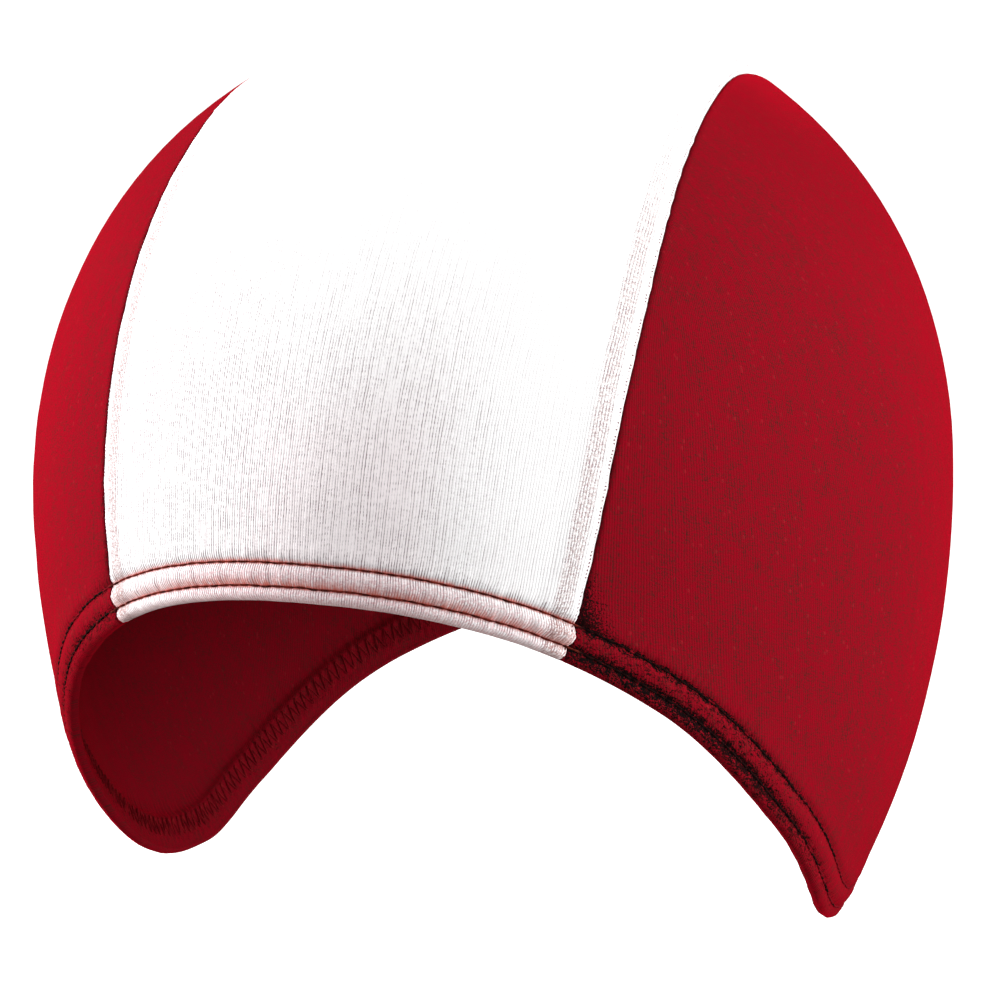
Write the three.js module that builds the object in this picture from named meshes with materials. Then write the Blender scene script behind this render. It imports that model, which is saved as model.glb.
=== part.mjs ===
import * as THREE from 'three';

// Three panel knitted swim cap, in the form it has when worn.
// Units are millimetres, +Z is up and the wearer faces -Y.
// The origin is the top of the head, where the inside of the crown rests on it.

// Outer form of the worn cap, measured from the middle of the head.
const HALF_WIDTH = 77.3;
const FRONT_REACH = 89;
const BACK_REACH = 111;
const CROWN_RISE = 82;
const LOWER_RISE = 113;
const PLAN_POWER = 1.83;
const PROFILE_POWER = 2.05;
// The head grows wider towards the back by this share of its width every EGG_LENGTH.
const EGG_SHARE = 0.06;
const EGG_LENGTH = 100;
// Nothing on the form is farther from the middle of the head than this.
const OUTER_LIMIT = 170;

// Height of the hem edge. The turn is 0 at the forehead, 90 at the ear and 180 at the nape.
const HEM_HEIGHTS = [
  { turn: 0, height: 13.5 },
  { turn: 20, height: 7 },
  { turn: 40, height: -12 },
  { turn: 60, height: -40.5 },
  { turn: 80, height: -66 },
  { turn: 100, height: -74 },
  { turn: 120, height: -71 },
  { turn: 150, height: -60 },
  { turn: 180, height: -54 },
];

// Half width of the centre panel. The pitch is -90 at the forehead, 0 at the crown and 90 at the back.
const SEAM_HALF_WIDTHS = [
  { pitch: -105, halfWidth: 31.8 },
  { pitch: -80, halfWidth: 40.8 },
  { pitch: -50, halfWidth: 44 },
  { pitch: -10, halfWidth: 42.3 },
  { pitch: 35, halfWidth: 36.5 },
  { pitch: 125, halfWidth: 34 },
];

// Section through the turned up hem. The two hollows carry the two rows of stitching.
const HEM_SECTION = [
  { fromEdge: 0, raise: -0.45, wall: 1.3 },
  { fromEdge: 0.6, raise: 0.1, wall: 2 },
  { fromEdge: 1.3, raise: 0.3, wall: 2.3 },
  { fromEdge: 2.5, raise: -0.2, wall: 1.9 },
  { fromEdge: 4.4, raise: 0.4, wall: 2.5 },
  { fromEdge: 6.3, raise: -0.2, wall: 1.9 },
  { fromEdge: 8.5, raise: 0.12, wall: 1.3 },
  { fromEdge: 12, raise: 0, wall: 1.2 },
];

// Section across a seam. The seam allowance lies inside the cap, under the centre panel.
const SEAM_SECTION = [
  { fromSeam: 0, dip: 0.35, allowance: 0.3 },
  { fromSeam: 1.2, dip: 0.05, allowance: 0.8 },
  { fromSeam: 3, dip: -0.12, allowance: 0.9 },
  { fromSeam: 6.2, dip: -0.1, allowance: 0.8 },
  { fromSeam: 7.4, dip: 0, allowance: 0 },
];

const CLOTH_WALL = 1.2;
// The cut edges of two panels stand this far apart, measured across the head.
const SEAM_GAP = 0.38;

// The seam section starts to show at the upper row of stitching and is whole above the hem.
const SEAM_FADE_START = 6.3;
const SEAM_FADE_END = 12;

// Division of the panels into facets, and the lengths that their columns are spread over.
const CENTRE_COLUMNS = 8;
const CENTRE_ROWS = 22;
const CENTRE_SPREAD = 85;
const SIDE_COLUMNS = 36;
const SIDE_ROWS = 10;
const SIDE_SPREAD = 200;
// Distances from the seam of the lines of facets beside it on a side panel.
const SIDE_SEAM_LINES = [0, 1.2, 3];
// Where a side panel is narrow, the lines beside the seam take this share of it.
const NARROW_SHARE = 0.5;

const CENTRE_LOOK = { name: 'white_knit', color: 0xf3f2f0, roughness: 0.85, metalness: 0 };
const SIDE_LOOK = { name: 'red_knit', color: 0x9c1422, roughness: 0.8, metalness: 0 };

const HALVINGS = 40;
const SMALL_STEP = 0.01;
const SMALL_TURN = 0.2;
const SMALLEST_SLOPE = 0.05;
const WELD_DIGITS = 4;
const BACK_TURN = 180;
const EAR_TURN = 90;

const radians = THREE.MathUtils.degToRad;
const degrees = THREE.MathUtils.radToDeg;

// Smooth value between the rows of a table. End slopes are level unless freeEnds is set.
function tableValue(table, place, value, at, freeEnds = false) {
  const last = table.length - 1;
  const x = THREE.MathUtils.clamp(at, table[0][place], table[last][place]);
  const slopeAfter = (i) => (table[i + 1][value] - table[i][value]) / (table[i + 1][place] - table[i][place]);
  const slopeAt = (i) => {
    if (i === 0) return freeEnds ? slopeAfter(0) : 0;
    if (i === last) return freeEnds ? slopeAfter(last - 1) : 0;
    const before = table[i][place] - table[i - 1][place];
    const after = table[i + 1][place] - table[i][place];
    return (slopeAfter(i - 1) * after + slopeAfter(i) * before) / (before + after);
  };
  let row = 0;
  while (row < last - 1 && x > table[row + 1][place]) row += 1;
  const span = table[row + 1][place] - table[row][place];
  const t = (x - table[row][place]) / span;
  const rise = t * t * (3 - 2 * t);
  return table[row][value] * (1 - rise)
    + table[row + 1][value] * rise
    + span * slopeAt(row) * t * (1 - t) * (1 - t)
    - span * slopeAt(row + 1) * t * t * (1 - t);
}

// Below 1 inside the form of the head and above 1 outside it.
function headForm(point) {
  const halfWidth = HALF_WIDTH * (1 + (EGG_SHARE * point.y) / EGG_LENGTH);
  const reach = point.y < 0 ? FRONT_REACH : BACK_REACH;
  const rise = point.z > 0 ? CROWN_RISE : LOWER_RISE;
  const plan = Math.abs(point.x / halfWidth) ** PLAN_POWER + Math.abs(point.y / reach) ** PLAN_POWER;
  return plan ** (PROFILE_POWER / PLAN_POWER) + Math.abs(point.z / rise) ** PROFILE_POWER;
}

// The number between low and high where the test turns from false to true.
function turningPoint(low, high, test) {
  let before = low;
  let after = high;
  for (let i = 0; i < HALVINGS; i += 1) {
    const middle = (before + after) / 2;
    if (test(middle)) after = middle;
    else before = middle;
  }
  return (before + after) / 2;
}

// The point of the form met by a ray whose points are given by pointAt(distance).
function meetForm(pointAt) {
  return pointAt(turningPoint(0, OUTER_LIMIT, (distance) => headForm(pointAt(distance)) > 1));
}

function ontoForm(point) {
  const direction = point.clone().normalize();
  return meetForm((distance) => direction.clone().multiplyScalar(distance));
}

function normalAt(point) {
  const slopeAlong = (axis) => headForm(point.clone().addScaledVector(axis, SMALL_STEP))
    - headForm(point.clone().addScaledVector(axis, -SMALL_STEP));
  return new THREE.Vector3(
    slopeAlong(new THREE.Vector3(1, 0, 0)),
    slopeAlong(new THREE.Vector3(0, 1, 0)),
    slopeAlong(new THREE.Vector3(0, 0, 1)),
  ).normalize();
}

function hemPoint(turn) {
  const turnFromFront = BACK_TURN - Math.abs(BACK_TURN - Math.abs(turn));
  const height = tableValue(HEM_HEIGHTS, 'turn', 'height', turnFromFront);
  const angle = radians(turn);
  return meetForm((distance) => new THREE.Vector3(
    distance * Math.sin(angle),
    -distance * Math.cos(angle),
    height,
  ));
}

// The point of the form a given distance above the hem edge, square to it.
function aboveHem(turn, distance) {
  const start = hemPoint(turn);
  const along = hemPoint(turn + SMALL_TURN).sub(hemPoint(turn - SMALL_TURN)).normalize();
  const up = normalAt(start).cross(along).normalize();
  return ontoForm(start.addScaledVector(up, distance));
}

function pitchOf(point) {
  return degrees(Math.atan2(point.y, point.z));
}

function seamHalfWidth(pitch) {
  return tableValue(SEAM_HALF_WIDTHS, 'pitch', 'halfWidth', pitch, true);
}

// How far a point lies outside the seam, measured across the head. Negative on the centre panel.
function outsideSeam(point) {
  return Math.abs(point.x) - seamHalfWidth(pitchOf(point));
}

// The point of the form on the line that stands a share of the half width from the middle.
function atShare(pitch, share, offset = 0) {
  const angle = radians(pitch);
  const x = seamHalfWidth(pitch) * share + offset;
  return meetForm((distance) => new THREE.Vector3(x, distance * Math.sin(angle), distance * Math.cos(angle)));
}

// Turn at which the line a given distance above the hem meets the seam, starting from the middle.
function seamTurn(distance, middleTurn, offset) {
  return turningPoint(middleTurn, EAR_TURN, (turn) => outsideSeam(aboveHem(turn, distance)) > offset);
}

function mix(from, to, share) {
  return from + (to - from) * share;
}

// Even steps from 0 to 1 with finer steps of the given sizes at both ends.
function stepsWithFineEnds(count, fineSizes, length) {
  const first = fineSizes.map((size) => size / length);
  const start = first[first.length - 1];
  const middle = [];
  for (let i = 1; i < count; i += 1) middle.push(mix(start, 1 - start, i / count));
  return [...first, ...middle, ...first.map((step) => 1 - step).reverse()];
}

// Points of the centre panel, row by row from the front hem over the crown to the nape.
function centreGrid() {
  const fromSeams = SEAM_SECTION.map((row) => row.fromSeam);
  const shares = stepsWithFineEnds(CENTRE_COLUMNS, fromSeams, CENTRE_SPREAD).map((step) => 2 * step - 1);
  const hemRow = (fromHem, middleTurn, direction) => {
    const reach = Math.abs(seamTurn(fromHem, middleTurn, -SEAM_GAP / 2) - middleTurn);
    return shares.map((share) => ({
      point: aboveHem(middleTurn + direction * share * reach, fromHem),
      fromHem,
    }));
  };
  const front = HEM_SECTION.map(({ fromEdge }) => hemRow(fromEdge, 0, 1));
  const back = HEM_SECTION.map(({ fromEdge }) => hemRow(fromEdge, BACK_TURN, -1)).reverse();
  const first = front[front.length - 1].map(({ point }) => point);
  const last = back[0].map(({ point }) => point);
  const shareOf = (point) => point.x / (seamHalfWidth(pitchOf(point)) - SEAM_GAP / 2);
  const fieldRow = (done) => first.map((start, column) => {
    const end = last[column];
    const share = mix(shareOf(start), shareOf(end), done);
    const point = atShare(mix(pitchOf(start), pitchOf(end), done), share, (-share * SEAM_GAP) / 2);
    return { point, fromHem: Infinity };
  });
  const field = [];
  for (let row = 1; row < CENTRE_ROWS; row += 1) field.push(fieldRow(row / CENTRE_ROWS));
  return [...front, ...field, ...back];
}

// Shares of the way from the hem band up to the seam at which a column has its points.
function sideShares(length) {
  const widest = SIDE_SEAM_LINES[SIDE_SEAM_LINES.length - 1];
  const scale = Math.min(1 / length, NARROW_SHARE / widest);
  const shares = [];
  for (let row = 1; row < SIDE_ROWS; row += 1) shares.push(((1 - widest * scale) * row) / SIDE_ROWS);
  return [...shares, ...SIDE_SEAM_LINES.map((line) => 1 - line * scale).reverse()];
}

// Points of one column of a side panel, along the shortest way from the hem band to the seam.
function sideColumn(low, high) {
  const from = low.clone().normalize();
  const to = high.clone().normalize();
  const turn = from.angleTo(to);
  const length = Math.max(turn * low.length(), SMALL_STEP);
  return sideShares(length).map((share) => {
    if (turn < SMALL_STEP / OUTER_LIMIT) return low;
    const way = from.clone().multiplyScalar(Math.sin((1 - share) * turn));
    return ontoForm(way.addScaledVector(to, Math.sin(share * turn)));
  });
}

// Points of the left panel, row by row from the hem up to the seam, each row from front to back.
function sideGrid() {
  const steps = stepsWithFineEnds(SIDE_COLUMNS, SIDE_SEAM_LINES, SIDE_SPREAD);
  const band = HEM_SECTION.map(({ fromEdge }) => {
    const first = seamTurn(fromEdge, 0, SEAM_GAP / 2);
    const last = seamTurn(fromEdge, BACK_TURN, SEAM_GAP / 2);
    return steps.map((step) => ({ point: aboveHem(mix(first, last, step), fromEdge), fromHem: fromEdge }));
  });
  const bandTop = band[band.length - 1].map(({ point }) => point);
  const firstPitch = pitchOf(bandTop[0]);
  const lastPitch = pitchOf(bandTop[bandTop.length - 1]);
  const columns = steps.map((step, column) => {
    const onSeam = atShare(mix(firstPitch, lastPitch, step), 1, SEAM_GAP / 2);
    return sideColumn(bandTop[column], onSeam);
  });
  const field = columns[0].map((_, row) => columns.map((column) => (
    { point: column[row], fromHem: Infinity }
  )));
  return [...band, ...field];
}

// Outer and inner skin of a panel, from the points of the form.
function skins(grid, isCentre) {
  const seat = new THREE.Vector3(0, 0, CLOTH_WALL - CROWN_RISE);
  const pairAt = ({ point, fromHem }) => {
    const normal = normalAt(point);
    const slope = Math.sqrt(Math.max(1 - normal.x * normal.x, SMALLEST_SLOPE));
    const fromSeam = Math.abs(outsideSeam(point)) / slope;
    const hem = (value) => tableValue(HEM_SECTION, 'fromEdge', value, fromHem);
    const seam = (value) => tableValue(SEAM_SECTION, 'fromSeam', value, fromSeam);
    const shown = THREE.MathUtils.smoothstep(fromHem, SEAM_FADE_START, SEAM_FADE_END);
    const dip = isCentre ? seam('dip') : Math.max(seam('dip'), 0);
    const allowance = isCentre ? seam('allowance') : 0;
    const outer = point.clone().addScaledVector(normal, hem('raise') - dip * shown);
    const inner = outer.clone().addScaledVector(normal, -hem('wall') - allowance * shown);
    return { outer: outer.add(seat), inner: inner.add(seat) };
  };
  const pairs = grid.map((row) => row.map(pairAt));
  return {
    outer: pairs.map((row) => row.map((pair) => pair.outer)),
    inner: pairs.map((row) => row.map((pair) => pair.inner)),
  };
}

// Closed body between two skins, with faces along all four edges.
function closedShell({ outer, inner }, mirrored) {
  const positions = [];
  const indices = [];
  const known = new Map();
  const vertex = (point) => {
    const place = mirrored ? new THREE.Vector3(-point.x, point.y, point.z) : point;
    const key = place.toArray().map((value) => value.toFixed(WELD_DIGITS)).join(' ');
    if (!known.has(key)) {
      known.set(key, positions.length / 3);
      positions.push(...place.toArray());
    }
    return known.get(key);
  };
  const triangle = (a, b, c) => {
    if (a === b || b === c || c === a) return;
    indices.push(...(mirrored ? [a, c, b] : [a, b, c]));
  };
  const quad = (a, b, c, d) => {
    triangle(a, b, c);
    triangle(a, c, d);
  };
  const lastRow = outer.length - 1;
  const lastColumn = outer[0].length - 1;
  const o = outer.map((line) => line.map(vertex));
  const n = inner.map((line) => line.map(vertex));
  for (let i = 0; i < lastRow; i += 1) {
    for (let j = 0; j < lastColumn; j += 1) {
      quad(o[i][j], o[i][j + 1], o[i + 1][j + 1], o[i + 1][j]);
      quad(n[i + 1][j], n[i + 1][j + 1], n[i][j + 1], n[i][j]);
    }
    quad(n[i][0], o[i][0], o[i + 1][0], n[i + 1][0]);
    quad(o[i][lastColumn], n[i][lastColumn], n[i + 1][lastColumn], o[i + 1][lastColumn]);
  }
  for (let j = 0; j < lastColumn; j += 1) {
    quad(n[0][j], n[0][j + 1], o[0][j + 1], o[0][j]);
    quad(o[lastRow][j], o[lastRow][j + 1], n[lastRow][j + 1], n[lastRow][j]);
  }
  const geometry = new THREE.BufferGeometry();
  geometry.setAttribute('position', new THREE.Float32BufferAttribute(positions, 3));
  geometry.setIndex(indices);
  geometry.computeVertexNormals();
  return geometry;
}

function panel(name, geometry, look) {
  const { name: lookName, ...values } = look;
  const material = new THREE.MeshStandardMaterial(values);
  material.name = lookName;
  const mesh = new THREE.Mesh(geometry, material);
  mesh.name = name;
  return mesh;
}

function centrePanel() {
  return panel('panel_centre', closedShell(skins(centreGrid(), true), false), CENTRE_LOOK);
}

function sidePanels() {
  const skin = skins(sideGrid(), false);
  return [
    panel('panel_left', closedShell(skin, false), SIDE_LOOK),
    panel('panel_right', closedShell(skin, true), SIDE_LOOK),
  ];
}

const group = new THREE.Group();
group.name = 'swim_cap';
group.add(centrePanel(), ...sidePanels());

export default group;
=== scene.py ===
import math

import bpy
import numpy as np
from mathutils import Matrix, Vector


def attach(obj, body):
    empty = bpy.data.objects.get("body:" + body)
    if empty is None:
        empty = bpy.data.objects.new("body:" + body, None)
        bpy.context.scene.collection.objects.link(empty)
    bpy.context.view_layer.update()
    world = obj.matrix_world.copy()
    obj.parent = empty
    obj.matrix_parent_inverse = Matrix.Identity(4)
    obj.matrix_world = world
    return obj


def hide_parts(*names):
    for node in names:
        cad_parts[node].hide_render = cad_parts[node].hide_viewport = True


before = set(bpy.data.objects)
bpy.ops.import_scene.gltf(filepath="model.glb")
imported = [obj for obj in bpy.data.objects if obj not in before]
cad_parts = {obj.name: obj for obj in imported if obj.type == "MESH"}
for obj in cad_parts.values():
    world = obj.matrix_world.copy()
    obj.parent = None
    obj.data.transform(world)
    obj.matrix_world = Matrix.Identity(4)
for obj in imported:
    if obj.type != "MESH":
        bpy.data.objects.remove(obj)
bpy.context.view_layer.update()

# Three panel knitted swim cap in its worn form. Sizes are in millimetres and measured from the
# middle of the head, unless a comment says otherwise.
MM = 0.001
HALF_WIDTH = 77.3
FRONT_REACH = 89.0
BACK_REACH = 111.0
CROWN_RISE = 82.0
LOWER_RISE = 113.0
PLAN_POWER = 1.83
PROFILE_POWER = 2.05
# The head widens by this share for every EGG_LENGTH towards the back.
EGG_SHARE = 0.06
EGG_LENGTH = 100.0
OUTER_LIMIT = 170.0
CLOTH_WALL = 1.2
SEAM_GAP = 0.08
SEAT = np.array([0.0, 0.0, CLOTH_WALL - CROWN_RISE])
# Points closer than this many metres are one point.
WELD = 2e-6
# How often a search halves its span, for a point of the form and for a turn round the hem.
FORM_HALVINGS = 32
TURN_HALVINGS = 26
# Turns in degrees: the ear, and the small step that gives the direction of the hem.
EAR_TURN = 90.0
TURN_STEP = 0.2

# Turn from the forehead in degrees, height of the hem edge.
HEM_HEIGHTS = (
    (0, 13.5), (20, 7), (40, -12), (60, -40.5), (80, -66), (100, -74), (120, -71), (150, -60),
    (180, -54),
)
# Pitch over the crown in degrees, half width of the centre panel.
SEAM_HALF_WIDTHS = ((-105, 31.8), (-80, 40.8), (-50, 44), (-10, 42.3), (35, 36.5), (125, 34))
# Distance from the hem edge, rise of the outer face, thickness of the cloth.
HEM_SECTION = (
    (0, -0.62, 1.1), (0.3, -0.24, 1.7), (0.9, 0.14, 2.1), (1.5, 0.2, 2.2), (2.5, -0.26, 1.8),
    (3.3, 0.14, 2.2), (4.4, 0.34, 2.4), (5.5, 0.16, 2.2), (6.3, -0.24, 1.8), (7.2, 0.08, 1.6),
    (8.6, 0.12, 1.4), (10.5, 0.02, 1.2), (12.5, 0, 1.2),
)
# Distance from the hem edge, how far the cloth bulges across the seam line there.
SEAM_BULGE = ((0, -0.75), (1.3, -0.25), (2.5, -0.1), (4.4, 0.35), (6.3, -0.15), (9, 0), (12.5, 0))
# Distance from the seam, dip of the outer face, extra thickness inside the centre panel.
SEAM_SECTION = (
    (0, 0.42, 0.2), (0.25, 0.2, 0.4), (0.7, 0.02, 0.7), (1.8, -0.06, 0.8), (3.2, -0.15, 0.9),
    (5.6, -0.13, 0.8), (6.4, -0.02, 0.3), (7.2, 0, 0),
)
STITCH_ROWS = (2.5, 6.3)
STITCH_PITCH = 2.0
HEM_BAND = 12.5
# The relief of the hem fades out over this much of the band, and that of the seam fades in.
HEM_FADE = 3
SEAM_FADE = (6.3, 12.0)

# Uneven forms of the cloth: seed, lengths of the waves, strength.
HEM_ROLL = (3, (23, 9), 0.12)
ROW_PUCKERS = (11, (1.5, 2.3), 0.055)
UPPER_PUCKERS = (21, (1.6, 3.1, 6), 0.06)
EDGE_WAVES = (31, (2.2, 5), 0.02)
SEAM_PUCKERS = (41, (1.35, 1.6), 0.08)
ALLOWANCE_PUCKERS = (43, (2.3, 3.1), 0.022)
SEAM_LINE_WAVES = (47, (1.35, 1.1, 4.5), 0.07)
THREAD_WANDER = (61, (11, 5), 0.05)
# The same for the open cloth, with lengths in degrees of pitch.
FIELD_WAVES = (51, (17, 31), 0.03)
# Waves of each length, and the spread of their lengths.
WAVES_EACH = 3
WAVE_SPREAD = (0.8, 1.25)

# How far the relief reaches beside a row of stitching, above it, at a needle and at the edge.
ROW_WIDTH = 1.3
UPPER_MIDDLE = 1.5
UPPER_WIDTH = 1.4
NEEDLE_WIDTH = 0.4
NEEDLE_DIP = 0.05
EDGE_WIDTH = 1.2
# How far the puckers and the uneven line of a seam reach.
SEAM_PUCKER_WIDTH = 0.8
SEAM_LINE_WIDTH = 0.7
# The soft ends of the puckered seam allowance, as distances from the seam.
ALLOWANCE_START = (0.8, 2)
ALLOWANCE_END = (7.4, 5.5)
# The allowance folded into the hem: its soft ends, its rise and the dip of each stitched row.
LUMP_START = (0.4, 1.2)
LUMP_END = (7.6, 6.4)
LUMP_RISE = 0.16
LUMP_DIP_WIDTH = 1.1
# Fall of the hem right beside a seam.
CORNER_FALL = 0.12
CORNER_WIDTH = 0.45
# The least squared slope that a distance from a seam is divided by.
LEAST_SLOPE = 0.05

# Threads: radius of each, and how deep its middle lies in or under the cloth.
TOP_RADIUS = 0.18
TOP_LIFT = 0.11
NEEDLE_PULL = 0.16
NEEDLE_THINNING = 0.04
LOOPER_RADIUS = 0.13
LOOPER_DEPTH = 0.14
LOOPER_CORNERS = 0.98
OVERLOCK_RADIUS = 0.15
OVERLOCK_DEPTH = 0.12
OVERLOCK_PITCH = 2.4
# The overlock loops swing between these distances from the seam, and start this far up the cap.
OVERLOCK_REACH = (3.4, 6.5)
OVERLOCK_START = 10.0
# Steps along each stitch, and sides of the threads on the inside.
TOP_STEPS = 8
LOOPER_STEPS = 14
OVERLOCK_STEPS = 10
INSIDE_SIDES = 6


def smooth_table(table, at, column=1, free_ends=False):
    """Smooth values between the rows of a table. The ends are level unless free_ends is set."""
    places = np.array([row[0] for row in table], float)
    values = np.array([row[column] for row in table], float)
    spans = np.diff(places)
    rises = np.diff(values) / spans
    slopes = np.zeros_like(values)
    slopes[1:-1] = (rises[:-1] * spans[1:] + rises[1:] * spans[:-1]) / (spans[:-1] + spans[1:])
    if free_ends:
        slopes[0], slopes[-1] = rises[0], rises[-1]
    x = np.clip(at, places[0], places[-1])
    row = np.clip(np.searchsorted(places, x, side="right") - 1, 0, len(spans) - 1)
    t = (x - places[row]) / spans[row]
    rise = t * t * (3 - 2 * t)
    return (
        values[row] * (1 - rise)
        + values[row + 1] * rise
        + spans[row] * slopes[row] * t * (1 - t) ** 2
        - spans[row] * slopes[row + 1] * t * t * (1 - t)
    )


def unit(v):
    """Vectors made one long. No length at all counts as a very small one."""
    return v / np.maximum(np.linalg.norm(v, axis=-1, keepdims=True), 1e-12)


def smooth_step(low, high, at):
    t = np.clip((at - low) / (high - low), 0, 1)
    return t * t * (3 - 2 * t)


def point(x, y, z):
    return np.stack(np.broadcast_arrays(x, y, z), axis=-1).astype(float)


def head_form(p):
    """Below 1 inside the form of the head and above 1 outside it."""
    half_width = HALF_WIDTH * (1 + EGG_SHARE * p[..., 1] / EGG_LENGTH)
    reach = np.where(p[..., 1] < 0, FRONT_REACH, BACK_REACH)
    rise = np.where(p[..., 2] > 0, CROWN_RISE, LOWER_RISE)
    plan = np.abs(p[..., 0] / half_width) ** PLAN_POWER + np.abs(p[..., 1] / reach) ** PLAN_POWER
    return plan ** (PROFILE_POWER / PLAN_POWER) + np.abs(p[..., 2] / rise) ** PROFILE_POWER


def meet_form(point_at, shape):
    """The points of the form on the rays that point_at(distance) gives."""
    near = np.zeros(shape)
    far = np.full(shape, OUTER_LIMIT)
    for _ in range(FORM_HALVINGS):
        middle = (near + far) / 2
        outside = head_form(point_at(middle)) > 1
        far = np.where(outside, middle, far)
        near = np.where(outside, near, middle)
    return point_at((near + far) / 2)


def onto_form(p):
    direction = unit(p)
    return meet_form(lambda d: direction * d[..., None], p.shape[:-1])


def normals_at(p):
    step = 0.01
    slopes = [head_form(p + step * axis) - head_form(p - step * axis) for axis in np.eye(3)]
    return unit(np.stack(slopes, axis=-1))


def hem_point(turn):
    turn = np.asarray(turn, float)
    height = smooth_table(HEM_HEIGHTS, 180 - np.abs(180 - np.abs(turn)))
    angle = np.radians(turn)
    return meet_form(lambda d: point(d * np.sin(angle), -d * np.cos(angle), height), turn.shape)


def above_hem(turn, distance):
    """The points of the form a given distance above the hem edge, square to it."""
    turn, distance = np.broadcast_arrays(np.asarray(turn, float), np.asarray(distance, float))
    start = hem_point(turn)
    along = hem_point(turn + TURN_STEP) - hem_point(turn - TURN_STEP)
    up = unit(np.cross(normals_at(start), along))
    return onto_form(start + up * distance[..., None])


def pitch_of(p):
    return np.degrees(np.arctan2(p[..., 1], p[..., 2]))


def seam_half_width(pitch):
    return smooth_table(SEAM_HALF_WIDTHS, pitch, free_ends=True)


def outside_seam(p):
    return np.abs(p[..., 0]) - seam_half_width(pitch_of(p))


def at_share(pitch, share, offset=0.0):
    angle = np.radians(pitch)
    x = seam_half_width(pitch) * share + offset
    shape = np.broadcast(angle, x).shape
    return meet_form(lambda d: point(x, d * np.sin(angle), d * np.cos(angle)), shape)


def seam_turn(distance, middle_turn, offset):
    """Turn at which the lines at these distances above the hem meet the seam."""
    before = np.full(distance.shape, float(middle_turn))
    after = np.full(distance.shape, EAR_TURN)
    for _ in range(TURN_HALVINGS):
        middle = (before + after) / 2
        past = outside_seam(above_hem(middle, distance)) > offset
        after = np.where(past, middle, after)
        before = np.where(past, before, middle)
    return (before + after) / 2


def mix(low, high, share):
    return low + (high - low) * share


def lengths_along(points):
    steps = np.linalg.norm(np.diff(points, axis=0), axis=-1)
    return np.concatenate([[0], np.cumsum(steps)])


# Length along the hem edge from the middle of the forehead, for each turn.
TURNS = np.linspace(-200, 200, 1601)
HEM_LENGTHS = lengths_along(hem_point(TURNS))
HEM_LENGTHS -= np.interp(0, TURNS, HEM_LENGTHS)
# Length along the middle of the centre panel, for each pitch.
PITCHES = np.linspace(-110, 140, 1001)
PITCH_LENGTHS = lengths_along(at_share(PITCHES, 0.0))
# Length along the widest level line of the head, for each angle about the upright line where
# the wales of a side panel would meet.
WALE_AXIS = 40.0
LEVEL_MARGIN = 0.1
LEVELS = np.linspace(LEVEL_MARGIN - FRONT_REACH, BACK_REACH - LEVEL_MARGIN, 1600)
LEVEL_LINE = meet_form(lambda d: point(d, LEVELS, 0 * LEVELS), LEVELS.shape)
LEVEL_LENGTHS = lengths_along(LEVEL_LINE)
WALE_ANGLES = np.arctan2(LEVELS, LEVEL_LINE[:, 0] - WALE_AXIS)
# Points of the whole hem edge, and in how many parts distances to them are worked out.
HEM_LINE = hem_point(np.linspace(-180, 180, 721))
MEMORY_PARTS = 40


def distance_from_hem(points):
    """Straight distances to the hem edge, worked out in parts to save memory."""
    flat = points.reshape(-1, 3)
    parts = [
        np.sqrt(((part[:, None, :] - HEM_LINE[None]) ** 2).sum(-1).min(1))
        for part in np.array_split(flat, MEMORY_PARTS)
    ]
    return np.concatenate(parts).reshape(points.shape[:-1])


def waves(at, kind, number=0):
    """Smooth seeded ups and downs along a length. The number is added to the seed of the kind."""
    seed, lengths, strength = kind
    random = np.random.RandomState(seed + number)
    total = np.zeros_like(at, dtype=float)
    for length in lengths:
        for _ in range(WAVES_EACH):
            span = length * random.uniform(*WAVE_SPREAD)
            total += np.sin(2 * np.pi * at / span + random.uniform(0, 2 * np.pi))
    return strength * total / (WAVES_EACH * len(lengths)) ** 0.5


def bump(distance, width):
    """1 at no distance, fading to nothing over about twice the width."""
    return np.exp(-((distance / width) ** 2))


def hem_relief(from_hem, along):
    """Rise of the outer face of the hem: its section, puckers beside the stitching, needle dips."""
    rise = smooth_table(HEM_SECTION, from_hem)
    rise = rise * (1 + waves(along, HEM_ROLL))
    for number, row in enumerate(STITCH_ROWS):
        reach = from_hem - row
        rise = rise + bump(reach, ROW_WIDTH) * waves(along, ROW_PUCKERS, number)
        rise = rise + bump(reach - UPPER_MIDDLE, UPPER_WIDTH) * waves(along, UPPER_PUCKERS, number)
        needle = np.cos(2 * np.pi * along / STITCH_PITCH)
        rise = rise - NEEDLE_DIP * bump(reach, NEEDLE_WIDTH) * needle
    return rise + bump(from_hem, EDGE_WIDTH) * waves(along, EDGE_WAVES)


def seam_relief(from_seam, along_seam, is_centre):
    """Fall of the outer face beside a seam, with the small puckers that its stitches draw."""
    dip = smooth_table(SEAM_SECTION, from_seam)
    if not is_centre:
        dip = np.maximum(dip, 0)
    pucker = bump(from_seam, SEAM_PUCKER_WIDTH) * waves(along_seam, SEAM_PUCKERS)
    if is_centre:
        over = smooth_step(*ALLOWANCE_END, from_seam) * smooth_step(*ALLOWANCE_START, from_seam)
        pucker = pucker + over * waves(along_seam, ALLOWANCE_PUCKERS)
    return dip + pucker


def folded_allowance(from_hem, from_seam):
    """Rise of the hem where the folded seam allowance lies in it, with a step where it ends."""
    lump = smooth_step(*LUMP_END, from_seam) * smooth_step(*LUMP_START, from_seam)
    for row in STITCH_ROWS:
        lump = lump * (1 - bump(from_hem - row, LUMP_DIP_WIDTH))
    return LUMP_RISE * lump


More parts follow.
